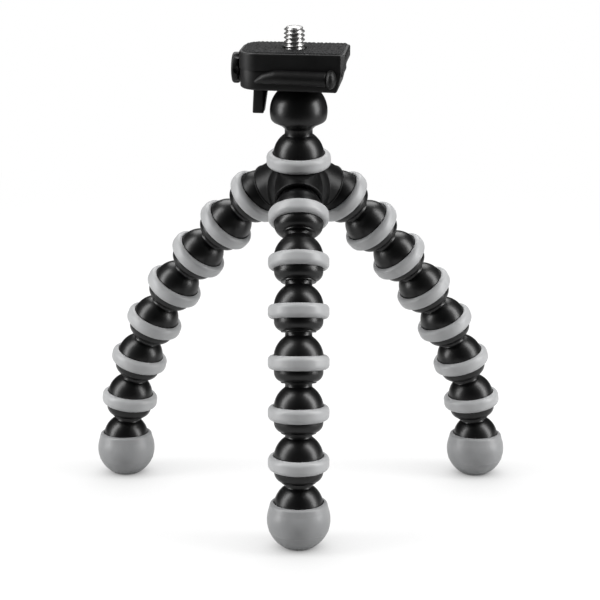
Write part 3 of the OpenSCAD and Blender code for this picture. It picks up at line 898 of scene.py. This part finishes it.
# knob on the left end
knobSize = {
    "at": (-18.8, 0, 12.95),
    "radius": 4.7,
    "thick": 2.3,
    "round": 0.7,
    "dishR": 2.1,
    "dishRim": 2.45,
    "dishDepth": 0.25,
    "shaftR": 0.6,
    "shaftLength": 2.9,
    "scoops": 6,
    "scoopR": 2.4,
    "scoopOut": 1.8,
}


def knobShape(size):
    r, t = size["radius"], size["thick"]
    deep = size["dishDepth"]
    dish = [(0, deep), (size["dishR"], deep, 0.15), (size["dishRim"], 0, 0.2)]
    rim = [(r, 0, size["round"]), (r, t, size["round"])]
    shaft, end = size["shaftR"], t + size["shaftLength"]
    bm = turnedShape([*dish, *rim, (shaft, t), (shaft, end), (0, end)])
    scoops = []
    for i in range(size["scoops"]):
        turn = 2 * math.pi * (i + 0.5) / size["scoops"]
        scoop = bmesh.new()
        bmesh.ops.create_uvsphere(scoop, u_segments=40, v_segments=24, radius=size["scoopR"])
        out = r + size["scoopOut"]
        bmesh.ops.translate(scoop, vec=(out * math.cos(turn), out * math.sin(turn), t), verts=scoop.verts)
        scoops.append(scoop)
    bm = cutAway(bm, *scoops)
    bm.transform(Matrix.Translation(size["at"]) @ Matrix.Rotation(math.radians(90), 4, "Y"))
    return bm


sideKnob = knobShape(knobSize)
addPiece("sideKnob", sideKnob, headPlace, "black_plastic", "knob", "side_knob", sharp=34, finish=mattBlack)

# release tab under the left
tabSize = {
    "at": (-10.0, 9.15),
    "topR": 2.15,
    "tipLow": -0.65,
    "tipLeft": -12.65,
    "tipRight": -9.3,
    "half": 2.3,
    "edge": 0.4,
    "flank": 3.3,
    "flankFaces": (0.86, -0.51, 0),
}


def tabShape(size):
    x, z = size["at"]
    crown = arc(z, size["topR"], 0, 180, 14, x)
    bm = slabShape([*crown, (size["tipLeft"], size["tipLow"]), (size["tipRight"], size["tipLow"])], size["half"])
    # the front right corner is cut back along the whole tab
    trim(bm, (size["tipLeft"] + size["flank"], -size["half"], 0), size["flankFaces"])
    creases = [edge for edge in bm.edges if edge.calc_face_angle(0) > 0.3]
    roundEdges(bm, creases, size["edge"], 3)
    return bm


releaseTab = tabShape(tabSize)
addPiece("releaseTab", releaseTab, headPlace, "black_plastic", "tab", "release_tab", sharp=34, finish=mattBlack)
print("head made")

# stage, light and camera
studio = {
    "cameraAt": (-0.0002, -0.52419, 0.18512),
    "pitchDown": 12.611,
    "lens": 103.05,
    "sweepHalf": 0.45,
    "sweepFront": -0.2,
    "sweepBack": 1.6,
    "floorTone": 0.52,
    "floorSeen": 0.14,
    "floorGlow": 0.87,
    # reach and depth of the painted contact shadow on the floor
    "paintedShadowReach": 0.06,
    "paintedShadowDepth": 0.56,
    "nearFloor": 0.30,
    "farFloor": 0.75,
    "backFrom": 0.5,
    "backTo": 1.2,
    "worldLevel": 0.045,
    "boxDistance": 0.75,
    "boxAim": (0, 0, 0.08),
}
softBoxes = {
    "leftBox": {"azimuth": -78, "elevation": 30, "width": 0.26, "height": 1.1, "power": 8.3},
    "rightBox": {"azimuth": 78, "elevation": 30, "width": 0.26, "height": 1.1, "power": 9.0},
    "topBox": {"azimuth": 180, "elevation": 54, "width": 0.6, "height": 0.5, "power": 4.0},
}


def addCamera():
    data = bpy.data.cameras.new("camera")
    data.sensor_width = 36.0
    data.lens = studio["lens"]
    camera = bpy.data.objects.new("camera", data)
    camera.location = studio["cameraAt"]
    camera.rotation_euler = (math.radians(90 - studio["pitchDown"]), 0, 0)
    bpy.context.scene.collection.objects.link(camera)
    bpy.context.scene.camera = camera


def addSoftBox(name, azimuth, elevation, width, height, power):
    turn, rise = math.radians(azimuth), math.radians(elevation)
    toward = Vector((math.sin(turn) * math.cos(rise), -math.cos(turn) * math.cos(rise), math.sin(rise)))
    data = bpy.data.lights.new(name, "AREA")
    data.shape = "RECTANGLE"
    data.size, data.size_y, data.energy = width, height, power
    lamp = bpy.data.objects.new(name, data)
    lamp.location = Vector(studio["boxAim"]) + toward * studio["boxDistance"]
    lamp.rotation_euler = toward.to_track_quat("Z", "Y").to_euler()
    bpy.context.scene.collection.objects.link(lamp)


def seenOutright(tree, *kinds):
    # one where the eye, or a mirror or glass, looks straight at the surface
    path = addNode(tree, "ShaderNodeLightPath")
    seen = path.outputs[kinds[0]]
    for kind in kinds[1:]:
        seen = combine(tree, "MAXIMUM", seen, path.outputs[kind])
    return seen


def whiteStageMaterial():
    material = bpy.data.materials.new("whiteStage")
    material.use_nodes = True
    tree = material.node_tree
    tree.nodes.clear()
    output = addNode(tree, "ShaderNodeOutputMaterial")
    eye = seenOutright(tree, "Is Camera Ray")
    matt = addNode(tree, "ShaderNodeBsdfDiffuse")
    tone = fill(addNode(tree, "ShaderNodeMapRange"), To_Min=studio["floorTone"], To_Max=studio["floorSeen"])
    tree.links.new(eye, tone.inputs["Value"])
    tree.links.new(tone.outputs["Result"], matt.inputs["Color"])
    # painted contact shadow: close to the feet the floor is shut in, so the occlusion leaves less of the glow
    opening = fill(addNode(tree, "ShaderNodeAmbientOcclusion", samples=12), Distance=studio["paintedShadowReach"])
    shade = combine(tree, "POWER", opening.outputs["AO"], studio["paintedShadowDepth"])
    level = combine(tree, "MULTIPLY", eye, studio["floorGlow"])
    nearGlow = addNode(tree, "ShaderNodeEmission")
    tree.links.new(combine(tree, "MULTIPLY", level, shade), nearGlow.inputs["Strength"])
    near = addNode(tree, "ShaderNodeAddShader")
    tree.links.new(matt.outputs["BSDF"], near.inputs[0])
    tree.links.new(nearGlow.outputs["Emission"], near.inputs[1])
    # away from the feet the floor passes into plain white, which mirrors see only at the back
    place = addNode(tree, "ShaderNodeTexCoord")
    reach = addNode(tree, "ShaderNodeVectorMath", operation="LENGTH")
    away = addNode(tree, "ShaderNodeMapRange", interpolation_type="SMOOTHSTEP")
    fill(away, From_Min=studio["nearFloor"], From_Max=studio["farFloor"])
    tree.links.new(place.outputs["Object"], reach.inputs[0])
    tree.links.new(reach.outputs["Value"], away.inputs["Value"])
    axes = addNode(tree, "ShaderNodeSeparateXYZ")
    behind = addNode(tree, "ShaderNodeMapRange", interpolation_type="SMOOTHSTEP")
    fill(behind, From_Min=studio["backFrom"], From_Max=studio["backTo"])
    tree.links.new(place.outputs["Object"], axes.inputs[0])
    tree.links.new(axes.outputs["Y"], behind.inputs["Value"])
    mirror = seenOutright(tree, "Is Glossy Ray", "Is Transmission Ray")
    straight = combine(tree, "MULTIPLY", away.outputs["Result"], eye)
    mirrored = combine(tree, "MULTIPLY", behind.outputs["Result"], mirror)
    farGlow = addNode(tree, "ShaderNodeEmission")
    blend = addNode(tree, "ShaderNodeMixShader")
    tree.links.new(combine(tree, "MAXIMUM", straight, mirrored), blend.inputs["Fac"])
    tree.links.new(near.outputs["Shader"], blend.inputs[1])
    tree.links.new(farGlow.outputs["Emission"], blend.inputs[2])
    tree.links.new(blend.outputs["Shader"], output.inputs["Surface"])
    return material


def addStage():
    # a flat sheet of paper, which ends a little in front of the feet
    bm = bmesh.new()
    half, front, rear = studio["sweepHalf"], studio["sweepFront"], studio["sweepBack"]
    corners = ((-half, front), (half, front), (half, rear), (-half, rear))
    bm.faces.new([bm.verts.new((x, y, 0)) for x, y in corners])
    mesh = bpy.data.meshes.new("whiteSweep")
    bm.to_mesh(mesh)
    bm.free()
    mesh.shade_smooth()
    mesh.materials.append(whiteStageMaterial())
    sweep = bpy.data.objects.new("whiteSweep", mesh)
    bpy.context.scene.collection.objects.link(sweep)


def addWorld():
    world = bpy.data.worlds.new("studio")
    world.use_nodes = True
    bpy.context.scene.world = world
    tree = world.node_tree
    sky = tree.nodes["Background"]
    sky.inputs["Color"].default_value = (1, 1, 1, 1)
    level = addNode(tree, "ShaderNodeMapRange")
    fill(level, To_Min=studio["worldLevel"], To_Max=1.0)
    tree.links.new(seenOutright(tree, "Is Camera Ray", "Is Transmission Ray"), level.inputs["Value"])
    tree.links.new(level.outputs["Result"], sky.inputs["Strength"])


addCamera()
addStage()
addWorld()
for name, box in softBoxes.items():
    addSoftBox(name, **box)
bpy.context.scene.view_settings.view_transform = "Standard"
print("stage, light and camera set")

slotOf = {part["node"]: part["material_slot"] for part in frame["record"]["subparts"]}
for name, node in frame["nodes"].items():
    node.data.materials.clear()
    node.data.materials.append(finishes[slotOf[name]])
